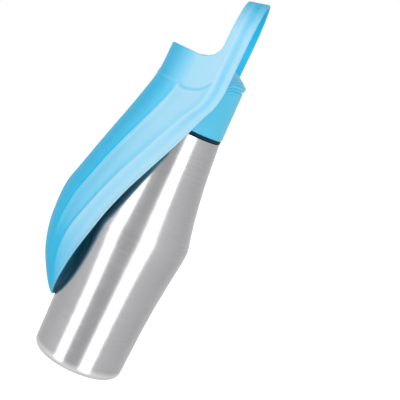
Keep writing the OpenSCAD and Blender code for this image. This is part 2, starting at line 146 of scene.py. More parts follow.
# %% Nodes of a finish
class Finish:
    """The nodes of a new material, or of the world where its tree is given."""

    def __init__(self, name, tree=None):
        self.material = None
        if tree is None:
            self.material = bpy.data.materials.new(name)
            self.material.use_nodes = True
            tree = self.material.node_tree
        self.tree = tree
        self.tree.nodes.clear()

    def node(self, kind, settings=None, inputs=None, output=0):
        made = self.tree.nodes.new(kind)
        for key, value in (settings or {}).items():
            if key == "stops":
                self.set_stops(made.color_ramp, value)
            else:
                setattr(made, key, value)
        for key, value in (inputs or {}).items():
            if isinstance(value, Value):
                self.tree.links.new(value.socket, made.inputs[key])
            else:
                made.inputs[key].default_value = value
        return Value(self, made.outputs[output]) if len(made.outputs) else made

    def set_stops(self, ramp, stops):
        while len(ramp.elements) < len(stops):
            ramp.elements.new(1)
        for element, (position, colour) in zip(ramp.elements, stops):
            element.position = position
            element.color = colour

    def ramp(self, share, stops):
        """The colour at a share of the way along the stops."""
        return self.node("ShaderNodeValToRGB", {"stops": stops}, {"Fac": share})

    def mix(self, share, first, second):
        """A colour between two colours, which are inputs 6 and 7 of a Mix node."""
        return self.node("ShaderNodeMix", {"data_type": "RGBA"}, {0: share, 6: first, 7: second}, output=2)

    def place(self):
        """The point's own place on the piece."""
        return self.node("ShaderNodeTexCoord", output="Object")

    def along(self, axis):
        """The point's own place on one axis, in metres."""
        return self.node("ShaderNodeSeparateXYZ", {}, {"Vector": self.place()}, output=axis)

    def noise(self, scale, detail, stretch=(1, 1, 1)):
        """Noise, packed tighter along an axis whose stretch is larger."""
        where = self.node("ShaderNodeMapping", {}, {"Vector": self.place(), "Scale": stretch})
        return self.node("ShaderNodeTexNoise", {}, {"Vector": where, "Scale": scale, "Detail": detail})

    def bump(self, height, distance, strength):
        inputs = {"Height": height, "Distance": distance, "Strength": strength}
        return self.node("ShaderNodeBump", {}, inputs)

    def surface(self, **sockets):
        """Principled surface, with socket names written with underscores, joined to the output."""
        named = {key.replace("_", " "): value for key, value in sockets.items()}
        shader = self.node("ShaderNodeBsdfPrincipled", {}, named)
        self.node("ShaderNodeOutputMaterial", {}, {"Surface": shader})
        return self.material


def rgb(red, green, blue):
    return (red, green, blue, 1)


def grey(shade):
    return rgb(shade, shade, shade)


# %% [markdown]
# The body is brushed stainless steel. Its brushing runs round the bottle, as the belt leaves it,
# so the noise behind the bump and the tint is stretched round the axis and packed tight along
# it. A noise stays sharp at any distance and needs no UV map, which a picture of metal would.
# A broad noise varies the polish a little, as handling does. The foot's rounded corner carries a
# painted reflection: paler and darker bands that a colour ramp draws along the height.

# %% Steel
BRUSHING = (0.6, 0.6, 60)
STEEL_DARK = rgb(0.34, 0.34, 0.35)
STEEL_PALE = rgb(0.58, 0.58, 0.59)
# The foot's painted reflection, as bands that each have a height in millimetres and a shade, and where they
# fade out.
FOOT_TOP = 9
FOOT_REFLECTION_BANDS = [(0.3, 0.34), (0.9, 0.80), (1.5, 0.74), (2.1, 0.54), (2.8, 0.70), (5.0, 0.68), (8.4, 0.50)]
FADE_FROM = 5.2
FADE_TO = 8.8


def foot_painted_reflection(finish, tint):
    """The foot's painted reflection, in bands that fade upwards into the brushed tint."""
    height = finish.along("Z")
    stops = [(z / FOOT_TOP, grey(shade)) for z, shade in FOOT_REFLECTION_BANDS]
    bands = finish.ramp(height * (1 / (FOOT_TOP * MM)), stops)
    fade = {"Value": height, "From Min": FADE_FROM * MM, "From Max": FADE_TO * MM, "To Min": 1, "To Max": 0}
    return finish.mix(finish.node("ShaderNodeMapRange", {}, fade), tint, bands)


def brushed_steel(name, foot=False):
    finish = Finish(name)
    lines = finish.noise(60, detail=4, stretch=BRUSHING)
    cloud = finish.noise(28, detail=3)
    grain = finish.noise(1100, detail=2)
    tint = finish.mix(cloud * 0.25 + grain * 0.25 + lines * 0.5, STEEL_DARK, STEEL_PALE)
    return finish.surface(
        Base_Color=foot_painted_reflection(finish, tint) if foot else tint,
        Metallic=1.0,
        Roughness=cloud.spread(0.17, 0.24),
        Normal=finish.bump(lines, distance=0.05 * MM, strength=0.6),
    )


def bright_steel():
    """Drawn wire, turned pins and screws: brighter than the body, with fine marks."""
    finish = Finish("bright_steel")
    marks = finish.noise(900, detail=2)
    return finish.surface(
        Base_Color=rgb(0.62, 0.62, 0.64),
        Metallic=1.0,
        Roughness=marks.spread(0.12, 0.22),
    )


# %% [markdown]
# The head, the seals and the valve are moulded. A moulding is smooth but not polished, so a very
# fine noise breaks the shine, and the colour varies by a hair across it. One function serves
# them all, because only colour, shine and grain differ.

# %% Moulded plastic and rubber
def moulded(name, deep, pale, roughness, grain, specular=0.5):
    """A moulded piece: two near colours in soft clouds, and a grain in the shine."""
    finish = Finish(name)
    cloud = finish.noise(35, detail=2)
    fine = finish.noise(grain, detail=3)
    return finish.surface(
        Base_Color=finish.mix(cloud, deep, pale),
        Roughness=fine.spread(roughness - 0.05, roughness + 0.05),
        Specular_IOR_Level=specular,
        Normal=finish.bump(fine, distance=0.02 * MM, strength=0.4),
    )


# %% [markdown]
# Fine rings run round the top of the head, level at the front and the back, and dip towards the
# hinges at its sides. They are too shallow to be worth cutting, so a colour ramp along the
# height paints each as a dark line of painted shade or a light line of painted highlight, and
# the same ramp feeds the bump.

# %% The head's rings
HEAD_SHINE = 0.32
RING_DEEP = rgb(0.030, 0.32, 0.78)
RING_PALE = rgb(0.185, 0.92, 1.0)
NO_RING = 0.5
# Further forward or back than this many millimetres the rings are level. Nearer the hinges
# they dip by the square of the distance, in metres, times RING_DIP.
RING_LEVEL = 23
RING_DIP = 68
# For each piece, in millimetres: its lowest and highest point, and its rings, each with its
# height, its half width and its rise in shade: below zero a line of painted shade, above zero a
# line of painted highlight.
HEAD_RINGS = {
    "head_top": (231, 247, [
        (232.4, 0.5, 0.25), (233.2, 0.3, -0.3), (234.6, 0.7, 0.2), (236.0, 0.6, -0.3),
        (237.0, 0.4, 0.2), (237.9, 0.5, -0.25), (239.0, 0.6, 0.15)]),
    "head_shell": (206, 232, [(229.0, 0.3, -0.1), (229.8, 0.4, 0.12), (230.9, 0.6, -0.3)]),
}


def ringed_plastic(name, low, high, rings):
    """The head's plastic, with each ring as three stops of the ramp: level, a line of painted shade or
    highlight, level.
    """
    finish = Finish(name)
    stops = [(0, grey(NO_RING))]
    for middle, half, rise in rings:
        for z, shade in ((middle - half, NO_RING), (middle, NO_RING + rise), (middle + half, NO_RING)):
            stops.append(((z - low) / (high - low), grey(shade)))
    to_side = (RING_LEVEL * MM - abs(finish.along("Y"))).at_least(0)
    height = finish.along("Z") + to_side * to_side * RING_DIP - low * MM
    # The ramp's dark lines are painted shade and its light lines painted highlights of the rings.
    line = finish.ramp(height * (1 / ((high - low) * MM)), stops)
    return finish.surface(
        Base_Color=finish.mix(line, RING_DEEP, RING_PALE),
        Roughness=finish.noise(1200, detail=3).spread(0.31, 0.41),
        Specular_IOR_Level=HEAD_SHINE,
        Normal=finish.bump(line, distance=0.6 * MM, strength=0.8),
    )


# %% [markdown]
# The trough is soft blue silicone. Its colour runs from deep to pale blue over its length and
# width, and most of that is painted shade and painted highlight: deeper on the panels that face
# away from the lamps and towards the tip, paler at the rim, and in lines beside the creases. The
# colour could be painted by height, but it follows the panels, so each point of the mesh carries
# a number, its tone, and a colour ramp turns the tone into a colour. A little light goes in and
# comes out again, as it does in silicone.

# %% Trough silicone
# From deep to pale blue: the silicone's blue with painted shade and painted highlight laid in.
TONE_COLOURS = [
    (0.000, rgb(0.002, 0.30, 0.52)),
    (0.225, rgb(0.004, 0.52, 0.84)),
    (0.450, rgb(0.022, 0.54, 0.88)),
    (0.675, rgb(0.190, 0.62, 0.88)),
    (0.900, rgb(0.440, 0.73, 0.90)),
    (1.000, rgb(0.700, 0.93, 1.00)),
]


def trough_silicone():
    finish = Finish("trough_silicone")
    tone = finish.node("ShaderNodeAttribute", {"attribute_name": "tone"}, output="Fac")
    cloud = finish.noise(30, detail=2)
    fine = finish.noise(1400, detail=3)
    return finish.surface(
        Base_Color=finish.ramp(tone * 0.9 + cloud.spread(-0.027, 0.027), TONE_COLOURS),
        Roughness=fine.spread(0.42, 0.52),
        Specular_IOR_Level=0.45,
        Subsurface_Weight=0.15,
        Subsurface_Radius=(0.2, 1.3, 1.0),
        Subsurface_Scale=0.004,
        Normal=finish.bump(fine, distance=0.02 * MM, strength=0.4),
    )


# %% [markdown]
# Each piece of the frame names the material slot that it belongs to, and gets that slot's
# finish. Four pieces differ from the rest of their slot, so they get one of their own: the two
# ringed pieces of the head, with painted shade and highlight in their rings, the bottle's foot,
# with a painted reflection, and the ring round the button, painted a deeper blue as the shade of
# the gap round the button.

# %% Finishes of the frame's pieces
HEAD_COLOURS = (rgb(0.100, 0.61, 0.93), rgb(0.120, 0.64, 0.95))
BEZEL_SHADE_COLOURS = (rgb(0.008, 0.22, 0.46), rgb(0.012, 0.25, 0.50))
SPOUT_COLOURS = (rgb(0.30, 0.66, 0.84), rgb(0.36, 0.71, 0.87))
SEAL_COLOURS = (rgb(0.66, 0.69, 0.70), rgb(0.74, 0.77, 0.78))
RUBBER_COLOURS = (rgb(0.001, 0.030, 0.070), rgb(0.002, 0.038, 0.085))
RESIN_COLOURS = (rgb(0.74, 0.76, 0.78), rgb(0.80, 0.82, 0.83))


def give(piece, finish):
    piece.data.materials.clear()
    piece.data.materials.append(finish)


finishes = {
    "steel": brushed_steel("brushed_steel"),
    "bright_steel": bright_steel(),
    "head_plastic": moulded("head_plastic", *HEAD_COLOURS, roughness=0.36, grain=1200, specular=HEAD_SHINE),
    "trough_silicone": trough_silicone(),
    "spout_silicone": moulded("spout_silicone", *SPOUT_COLOURS, roughness=0.48, grain=1500),
    "seal_silicone": moulded("seal_silicone", *SEAL_COLOURS, roughness=0.45, grain=1500),
    "dark_rubber": moulded("dark_rubber", *RUBBER_COLOURS, roughness=0.60, grain=1500, specular=0.1),
    "white_resin": moulded("white_resin", *RESIN_COLOURS, roughness=0.50, grain=1200),
}
own_finishes = {node: ringed_plastic(node + "_plastic", *rings) for node, rings in HEAD_RINGS.items()}
# The foot's steel carries a painted reflection in pale and dark bands.
own_finishes["bottle_base"] = brushed_steel("foot_steel_painted_reflection", foot=True)
# The ring round the button is painted a deeper blue, as the painted shade of the gap round it.
own_finishes["button_bezel"] = moulded(
    "bezel_painted_shade", *BEZEL_SHADE_COLOURS, roughness=0.36, grain=1200, specular=HEAD_SHINE)

for part in frame["record"]["subparts"]:
    node = part["node"]
    give(frame["nodes"][node], own_finishes.get(node, finishes[part["material_slot"]]))
print("finishes:", sorted(finishes), "and of their own:", sorted(own_finishes))

# %% [markdown]
# The trough is one moulded piece: a leaf that wraps the front of the bottle, a collar that holds
# the head, and a strap that runs up from the collar, over and down again. Seen from the side its
# front line and its rim are two curves. Each is kept as a few heights with the distance forward
# or back, and a smooth curve is drawn through them.

# %% Outline of the trough, in millimetres
TIP_Z = 38
BELLY_Z = 109
HINGE_Z = 218
COLLAR_TOP = 244.3
LOOP_TOP = 294.2
SCOOP_HALF = 37
COLLAR_HALF = 31.6
LOOP_CENTRE = LOOP_TOP - COLLAR_HALF
LOOP_FRONT = 2.4
FILLET = 13


class Curve:
    """Smooth curve through a list of heights and values."""

    def __init__(self, *points):
        self.points = points
        self.known = {}

    def __call__(self, z):
        if z not in self.known:
            self.known[z] = self.work_out(z)
        return self.known[z]

    def slope(self, k):
        low, high = self.points[max(k - 1, 0)], self.points[min(k + 1, len(self.points) - 1)]
        return (high[1] - low[1]) / (high[0] - low[0])

    def work_out(self, z):
        points = self.points
        z = min(max(z, points[0][0]), points[-1][0])
        i = max(k for k in range(len(points) - 1) if k == 0 or z >= points[k][0])
        (low, start), (high, end) = points[i], points[i + 1]
        height = high - low
        t = (z - low) / height
        return ((1 + 2 * t) * (1 - t) ** 2 * start + t * (1 - t) ** 2 * self.slope(i) * height
                + t * t * (3 - 2 * t) * end + t * t * (t - 1) * self.slope(i + 1) * height)


# The front line and the rim, how deep the side is between the rim and the rounded front, and how
# far the rim's lip leans out.
spine = Curve((38, -38.2), (52, -47.3), (68, -55.7), (82, -60), (95, -62), (118, -62.2), (136, -57.8),
              (166, -49.7), (192, -42.3), (214, -36.6), (220, -35.5), (225, -34.5), (243, -34.2))
rim = Curve((38, -36.1), (48, -35.4), (60, -34), (79, -30.8), (98, -26.4), (117, -21.7), (129, -18),
            (140, -14.2), (150, -10.2), (158, -6.9), (170, -2), (180, 2.2), (195, 7.8), (203, 10.3),
            (217, 14), (234, 16.5), (243, 17.3))
side = Curve((38, 0.4), (60, 2.5), (79, 5), (117, 9), (158, 13), (195, 20), (217, 26.7), (243, 28.9))
lip = Curve((38, 0.3), (60, 1.2), (90, 2.4), (117, 2.8), (158, 2.8), (195, 2), (222, 0.9), (243, 0.9))
print("trough is", round(LOOP_TOP - TIP_Z), "mm tall and", 2 * SCOOP_HALF, "mm wide")

# %% [markdown]
# Cut level at any height, the wall is half an ellipse round the front with a short straight side
# behind it that ends at the rim. So one function gives every point of the wall, from how far
# round it is and how high. The same function gives the inner skin, where the section is drawn
# smaller by the wall's thickness.

# %% Level sections of the wall
# The leaf's ellipse closes just below its tip, so that the tip is blunt.
TIP_POLE = TIP_Z - 0.3
WALL = 2.2
TIP_WALL = 2.4
TIP_THICK = 22
# A small rise over which the slope of the wall's side is measured.
PROBE = 0.2


def ease(value, low, high):
    """0 below low, 1 above high, and a smooth step between."""
    t = min(max((value - low) / (high - low), 0), 1)
    return t * t * (3 - 2 * t)


def half_width(z):
    """Half the trough's width: an ellipse up to the belly, then a slow narrowing to the hinge."""
    if z < BELLY_Z:
        return SCOOP_HALF * math.sqrt(1 - ((BELLY_Z - z) / (BELLY_Z - TIP_POLE)) ** 2)
    share = (1 + math.cos(math.pi * min((z - BELLY_Z) / (HINGE_Z - BELLY_Z), 1))) / 2
    return COLLAR_HALF + (SCOOP_HALF - COLLAR_HALF) * share


def wall_at(z):
    """The wall's thickness, a little more over the first stretch above the tip."""
    return TIP_WALL + (WALL - TIP_WALL) * min(max((z - TIP_Z) / TIP_THICK, 0), 1)


def section(q, z, inset=0):
    """A level section of the wall: q runs from the front, 0, round to 1, then back to the rim, 2.

    An inset draws it smaller. A sloping wall needs a larger level step for the same thickness.
    """
    half, back_y, front_y = half_width(z), rim(z), spine(z)
    centre_y = back_y - side(z)
    if inset:
        lean = math.hypot(1, (half_width(z + PROBE) - half) / PROBE)
        half -= inset * min(lean, 0.55 * half / wall_at(z))
        front_y += inset * math.hypot(1, spine(z + 0.5) - spine(z - 0.5))
    if q <= 1:
        angle = math.pi / 2 * q
        return Vector((half * math.sin(angle), centre_y - (centre_y - front_y) * math.cos(angle), z))
    s = q - 1
    return Vector((half + lip(z) * s * s, centre_y + (back_y - centre_y) * s, z))


def q_at(y, z):
    """Where along the section the wall is this far forward or back."""
    centre_y = rim(z) - side(z)
    if y >= centre_y:
        return 1 + (y - centre_y) / side(z)
    return 2 / math.pi * math.acos(min((centre_y - y) / (centre_y - spine(z)), 1))


print("wall:", wall_at(TIP_Z), "mm at the tip and", WALL, "mm above")

# %% [markdown]
# Two creases run the length of the leaf. The first parts the front panel from the side petal,
# the second parts the petal from the band behind the rim, and that band goes on up the strap.
# The mesh follows them: every row of the mesh has a column on each crease, so a crease is crisp
# without a very fine mesh. A station of 0 is the front line, 1 the first crease, 2 the second
# and 3 the rim. Towards the collar the stations shift, so that the strap has whole columns.

# %% Creases and stations
crease_1 = Curve((38, -38), (50, -42.7), (60, -45.8), (75, -49.3), (90, -50.6), (105, -50.3), (120, -48.2),
                 (135, -44.1), (150, -39.8), (165, -34.7), (185, -27.2), (200, -21.6), (215, -16.9),
                 (243, -15))
crease_2 = Curve((38, -37.8), (50, -37.7), (60, -38.9), (70, -40.4), (80, -41.3), (90, -41.1), (100, -39.5),
                 (115, -35.3), (130, -30.5), (150, -23.3), (165, -16.9), (185, -8.4), (205, 0.3), (214, 3.9),
                 (222, 5.9), (232, 7.1), (243, 7.5))
CURVES_TOP = 243
SHIFT_FROM = 200
COLLAR_LINE = 232
FILLET_FROM = 1.3
STRAP_FROM = 1.75
FLAT_Y = LOOP_FRONT - FILLET


def share_of(low, high, t):
    return low + (high - low) * t


def fillet_angle(u):
    """The way round the fillet, from the collar's top edge to the strap's front edge."""
    return math.pi / 2 * (u - FILLET_FROM) / (STRAP_FROM - FILLET_FROM)


def collar_y(u):
    """Where a station stands in the collar."""
    if u <= FILLET_FROM:
        return share_of(crease_1(CURVES_TOP), FLAT_Y, (u - 1) / (FILLET_FROM - 1))
    if u <= STRAP_FROM:
        return FLAT_Y + FILLET * math.sin(fillet_angle(u))
    if u <= 2:
        return share_of(LOOP_FRONT, crease_2(CURVES_TOP), (u - STRAP_FROM) / (2 - STRAP_FROM))
    return share_of(crease_2(CURVES_TOP), rim(CURVES_TOP), u - 2)


def top_z(u):
    """Height of the wall's upper edge at a station: level, then climbing into the strap."""
    if u <= FILLET_FROM:
        return COLLAR_TOP
    if u >= STRAP_FROM:
        return COLLAR_TOP + FILLET
    return COLLAR_TOP + FILLET * (1 - math.cos(fillet_angle(u)))


def station_q(u, z):
    if u <= 1:
        return u * q_at(crease_1(z), z)
    if u <= 2:
        leaf_y = share_of(crease_1(z), crease_2(z), u - 1)
    else:
        leaf_y = share_of(crease_2(z), rim(z), u - 2)
    return q_at(share_of(leaf_y, collar_y(u), ease(z, SHIFT_FROM, COLLAR_LINE)), z)


def plain(u, z, inset=0):
    """A point of the wall before any relief."""
    return section(station_q(u, z), z, inset)


def outward(u, z):
    """Unit vector out of the plain wall."""
    du, dz = 0.01, 0.3
    across = plain(min(u + du, 3), z) - plain(max(u - du, 0), z)
    along = plain(u, z + dz) - plain(u, z - dz)
    if u < du:
        across = Vector((1, 0, 0))
    return across.cross(along).normalized()


print("at the belly the creases are", [round(plain(u, BELLY_Z).x, 1) for u in (1, 2)], "mm from the middle")

# %% [markdown]
# The relief is drawn as heights above the plain wall, in millimetres. It could be carved into the
# mesh by hand, but as a formula it stays smooth and follows the creases when they move. Each
# mark is a smooth step or a low ridge, measured along the wall from its crease, and fades out
# towards the tip, where all the lines meet. The petal ends at the top in a curved step, like a
# smile. Inside there is only a sunk oval floor.

# %% Relief of the outside and of the inside
petal_top = Curve((-20, 219.9), (-15, 219.8), (-12, 219.4), (-8.5, 219.4), (-4.6, 220.6), (0.7, 223.2),
                  (3.5, 226), (6, 230))
OVAL_HALF = 1.02
OVAL_Z = 96
OVAL_DEPTH = 46


def ridge(value, middle, half):
    """A rounded ridge of height 1."""
    t = min(abs(value - middle) / half, 1)
    return (1 - t * t) ** 2


def across_wall(u, z):
    """Millimetres past the first and the second crease, and below the petal's top."""
    here = plain(u, z)
    first, second = [math.copysign((here - plain(crease, z)).length, u - crease) for crease in (1, 2)]
    return first, second, petal_top(here.y) - z


def relief_outside(u, z):
    first, second, below = across_wall(u, z)
    under = ease(below, -0.7, 0.7)
    # The sunk petal, and the collar's front, which stands a little proud.
    petal = ease(first, -0.6, 0.8) * (1 - ease(second, -2.6 - 4 * ease(z, 120, 160), -0.5))
    rise = -0.9 * petal * under + 0.35 * (1 - under) * (1 - ease(u, 1.05, 1.3))
    # A ridge and a hollow beside each crease.
    rise += under * (0.35 * ridge(first, 1.4, 1.6) - 0.35 * ridge(first, -1.6, 2.0))
    rise += (0.35 - 0.2 * under) * ridge(second, -0.2, 1.4) - 0.2 * under * ridge(second, -2.9, 1.9)
    # The bead under the petal's top, the rim's edge and the groove that runs up into the strap.
    rise += 0.3 * ridge(below, -1.4, 1.3) * ease(first, -14, 2) * (1 - ease(second, -5, -1))
    rise += 0.5 * ease(u, 2.80, 3.0) - 0.5 * ridge(u, 2.42, 0.36) * ease(z, 170, 225)
    return rise * ease(z, 45, 100)


def oval(u, z):
    """1 on the edge of the sunk floor inside, less on the floor."""
    return math.hypot(u / OVAL_HALF, max(0, OVAL_Z - z) / OVAL_DEPTH)


def relief_inside(u, z):
    return -0.5 * (1 - ease(oval(u, z), 0.97, 1.03)) * (1 - ease(z, 196, 206))


print("petal is sunk by", round(-relief_outside(1.5, 150), 2), "mm at a height of 150 mm")

# %% [markdown]
# The sheet's borders are rounded, as a moulded edge is: near a border both skins fall towards
# the middle of the wall along a quarter circle. A Bevel modifier would round them too, but it
# would cut through the fine columns there.

# %% Rounded borders
# A little under half of the wall, so that the two skins never meet.
ROUNDED_SHARE = 0.49


def border_drop(u, z, inside):
    """How far a skin falls at a border. The inner one stays full at the tip, next to the steel."""
    round_to = ROUNDED_SHARE * wall_at(z)
    to_rim = (plain(3, z) - plain(u, z)).length
    to_tip = 1.2 * (z - TIP_Z) + (1 if inside else 0)
    level = COLLAR_TOP + FILLET - z
    to_edge = math.hypot(max(collar_y(max(u, 1)) - FLAT_Y, 0), max(level, 0)) - FILLET
    t = 1 - min(max(min(to_rim, to_tip, to_edge) / round_to, 0), 1)
    return round_to * (1 - math.sqrt(1 - t * t))


print("the rim is rounded to", round(border_drop(3, BELLY_Z, False), 2), "mm")

# %% [markdown]
# The colour of the soft wall runs from a deep blue at the front line to a pale blue at the rim,
# as painted shade and painted highlight over the silicone's blue. A tone of 0 is the deepest blue
# and 1 the rim's pale blue. It is worked out from the same distances as the relief, so that
# colour and shape change at the same lines, and the creases, grooves and steps get painted shade
# and painted highlights beside them.

# %% Tones
front_tone = Curve((40, 0.30), (60, 0.34), (100, 0.50), (150, 0.58), (190, 0.63), (214, 0.69), (224, 0.75),
                   (243, 0.76))
petal_tone = Curve((40, 0.34), (60, 0.40), (80, 0.48), (100, 0.64), (120, 0.72), (150, 0.81), (190, 0.90),
                   (220, 0.94))
band_tone = Curve((38, 0.50), (60, 0.70), (80, 0.80), (100, 0.90), (120, 0.94), (150, 0.96), (243, 0.95))
FRONT_LINE_TONE = 0.42
STRAP_INSIDE_SHADE = 0.30
EDGE_FROM = 2.962
EDGE_FULL = 2.99


def clear_of_tip(z):
    """0 at the tip, where the creases run together, and 1 above it."""
    return ease(z, 55, 105)


def panel_tone(u, z, first, second, under):
    """The tone of the front panel, the petal, the band and the collar, without their lines: painted shade,
    deepest on the front panel and near the tip, paler towards the rim.
    """
    front = share_of(FRONT_LINE_TONE, front_tone(z), ease(u, 0.25, 1.1)) - 0.1 * (1 - ease(z, 40, 70))
    collar = share_of(0.47, 0.95, ease(u, 0.3, 1.45))
    petal = share_of(collar, petal_tone(z), under)
    soft = share_of(petal, band_tone(z), ease(u, 1.3, 2.8))
    crisp = share_of(petal, band_tone(z), ease(second, -2.0, 1.0))
    behind = share_of(soft, crisp, clear_of_tip(z))
    return share_of(share_of(collar, front, under), behind, ease(first, -0.5, 0.7))


def tone_outside(u, z):
    first, second, below = across_wall(u, z)
    under = ease(below, -0.6, 0.6)
    tone = panel_tone(u, z, first, second, under)
    # Painted highlights and painted shade beside the creases, and painted shade in the groove behind the
    # second one.
    hollow = 0.10 - 0.05 * ease(z, 150, 200)
    lines = 0.05 * ridge(first, 1.2, 1.5) - hollow * ridge(first, -1.8, 2.2) - 0.04 * ridge(first, 4.4, 1.8)
    lines -= 0.03 * ridge(first, 6.5, 1.5) + 0.07 * ridge(second, -2.9, 2.0 + 1.4 * ease(z, 130, 170))
    groove = (0.07 + 0.08 * ease(z, 170, 215)) * ridge(u, 2.36, 0.36)
    tone += clear_of_tip(z) * (under * lines + 0.05 * ridge(second, -0.2, 1.4) - groove)
    # A painted highlight along the rim's edge.
    tone += 0.12 * ease(u, EDGE_FROM, EDGE_FULL) * (1 - ease(z, 110, 170))
    # Painted shade and a thin painted highlight at the curved step at the petal's top, and a faint painted
    # highlight where it runs over the front.
    mouth = ease(first, 0, 5) * (1 - ease(second, -3, 0))
    tone += mouth * (0.05 * ridge(below, 2.4, 1.2) - 0.17 * ridge(below, 0.4, 1.8))
    return tone + 0.09 * ridge(below, -0.2, 1.1) * ease(u, 0.2, 0.6) * (1 - ease(first, -0.5, 0.5))


def tone_inside(u, z):
    # Inside: darker towards the collar, paler round the sunk floor with a line of painted shade at its edge,
    # and a painted highlight along the rim's edge.
    floor = 0.56 - 0.1 * ease(z, 165, 200)
    step = 0.24 * ease(oval(u, z), 0.99, 1.05) - 0.12 * ridge(oval(u, z), 0.99, 0.035)
    return floor + step * (1 - ease(z, 175, 205)) + 0.22 * ease(u, EDGE_FROM, EDGE_FULL)


print("tones at the belly:", [round(tone_outside(u, BELLY_Z), 2) for u in (0, 1, 2, 3)])

# %% [markdown]
# The leaf and collar start as one flat grid. Its columns are bunched at the creases, the strap's
# front edge and the rim, and its rows at the tip. Each point of the grid is then moved to its
# place on the curved wall, which bends the flat sheet into the leaf. Each outer point also
# remembers its partner on the inner skin and the tones of both, for the step after next.

# %% The curved sheet
# The columns' stations on one side. The other side mirrors them.
STATIONS = (
    [0.09 * i for i in range(1, 11)] + [0.93, 0.95, 0.97, 0.985, 1.0, 1.015, 1.03, 1.05, 1.07]
    + [1.1, 1.145, 1.19, 1.245, 1.3] + [1.3 + 0.045 * i for i in range(1, 10)]
    + [1.735, 1.75, 1.753, 1.76, 1.772, 1.788, 1.803, 1.825, 1.85, 1.87, 1.885, 1.9, 1.915, 1.93]
    + [1.945, 1.96, 1.975, 1.988, 2.0, 2.012, 2.024, 2.04, 2.07, 2.12, 2.2, 2.28, 2.36, 2.44, 2.52]
    + [2.6, 2.68, 2.75, 2.8, 2.84, 2.874, 2.9, 2.93, 2.962, 2.976, 2.99, 2.9965, 3.0]
)
COLUMNS = [-u for u in reversed(STATIONS)] + [0.0] + STATIONS
LOW_ROWS = 36
MID_ROWS = 96
TOP_STEPS = [0.08 * i for i in range(1, 12)] + [0.91, 0.94, 0.965, 0.985, 0.996, 1.0]
ROWS = LOW_ROWS + MID_ROWS + len(TOP_STEPS)
FIRST_ANGLE = math.acos((BELLY_Z - TIP_Z) / (BELLY_Z - TIP_POLE))


def row_z(row, u):
    """Height of a row: round the tip's ellipse, in even steps to the collar, then to the top edge."""
    if row <= LOW_ROWS:
        angle = FIRST_ANGLE + (math.pi / 2 - FIRST_ANGLE) * row / LOW_ROWS
        return BELLY_Z - (BELLY_Z - TIP_POLE) * math.cos(angle)
    if row <= LOW_ROWS + MID_ROWS:
        return BELLY_Z + (COLLAR_LINE - BELLY_Z) * (row - LOW_ROWS) / MID_ROWS
    return COLLAR_LINE + (top_z(u) - COLLAR_LINE) * TOP_STEPS[row - LOW_ROWS - MID_ROWS - 1]


def handed(point, u):
    """The point in metres, on the left where its station is negative."""
    return Vector((-point.x if u < 0 else point.x, point.y, point.z)) * MM


def sheet_point(u, z, inside, relief=1):
    """A point of the outer or the inner skin, in metres."""
    station = abs(u)
    drop = border_drop(station, z, inside)
    if inside:
        return handed(plain(station, z, wall_at(z) + relief_inside(station, z) - drop), u)
    return handed(plain(station, z, drop) + outward(station, z) * relief_outside(station, z) * relief, u)


def grid(name, columns, rows):
    """A flat grid with its numbers of faces, and the column and row of each of its points."""
    bpy.ops.object.select_all(action="DESELECT")
    bpy.ops.mesh.primitive_grid_add(x_subdivisions=columns, y_subdivisions=rows, size=1)
    made = bpy.context.object
    made.name = name
    places = [(round((v.co.x + 0.5) * columns), round((v.co.y + 0.5) * rows)) for v in made.data.vertices]
    return made, places


def whereabouts(point):
    """A point's place as a key, rounded so that merged points still find it."""
    return tuple(round(value / MM, 3) for value in point)


partner = {}
sheet, sheet_places = grid("trough_leaf", len(COLUMNS) - 1, ROWS)
for vertex, (column, row) in zip(sheet.data.vertices, sheet_places):
    u = COLUMNS[column]
    z = row_z(row, abs(u))
    vertex.co = sheet_point(u, z, False)
    tones = (tone_outside(abs(u), z), tone_inside(abs(u), z))
    partner[whereabouts(vertex.co)] = (sheet_point(u, z, True), *tones)
print("leaf and collar:", len(sheet.data.polygons), "faces")

# %% [markdown]
# The strap is a second grid. Its columns are the sheet's own columns from the strap's front edge
# to the rim, so the two meet point to point. It climbs straight for a little, goes over in a half
# circle and comes down on the other side. The soft strap hangs a little lower at its front edge.
# Its top is painted a deeper blue than its feet, as painted shade, and its inside is painted a
# deep blue too, as painted shade.

# %% The strap
STRAP_STATIONS = [u for u in STATIONS if u >= STRAP_FROM]
CLIMB_ROWS = 4
ARCH_ROWS = 44
STRAP_ROWS = ARCH_ROWS + 2 * CLIMB_ROWS
STRAP_MIDDLE = (LOOP_FRONT + rim(CURVES_TOP)) / 2
CROWN_TILT = 0.20
CROWN_PAINTED_SHADE = 0.5


def crown(row):
    """0 at the strap's feet and 1 at its top."""
    return math.sin(math.pi * row / STRAP_ROWS)


def strap_point(u, row, inside):
    """A point of the strap's outer or inner skin: the point at its foot, carried up and over."""
    foot = sheet_point(u, COLLAR_TOP + FILLET, inside, 1 - crown(row) ** 2) / MM
    if CLIMB_ROWS <= row <= CLIMB_ROWS + ARCH_ROWS:
        angle = math.pi * (row - CLIMB_ROWS) / ARCH_ROWS
        reach = foot.x + CROWN_TILT * (foot.y - STRAP_MIDDLE) * crown(row)
        return Vector((foot.x * math.cos(angle), foot.y, LOOP_CENTRE + reach * math.sin(angle))) * MM
    climb = min(row, STRAP_ROWS - row) / CLIMB_ROWS
    side_sign = 1 if row < CLIMB_ROWS else -1
    height = foot.z + (LOOP_CENTRE - foot.z) * climb
    return Vector((side_sign * foot.x, foot.y, height)) * MM


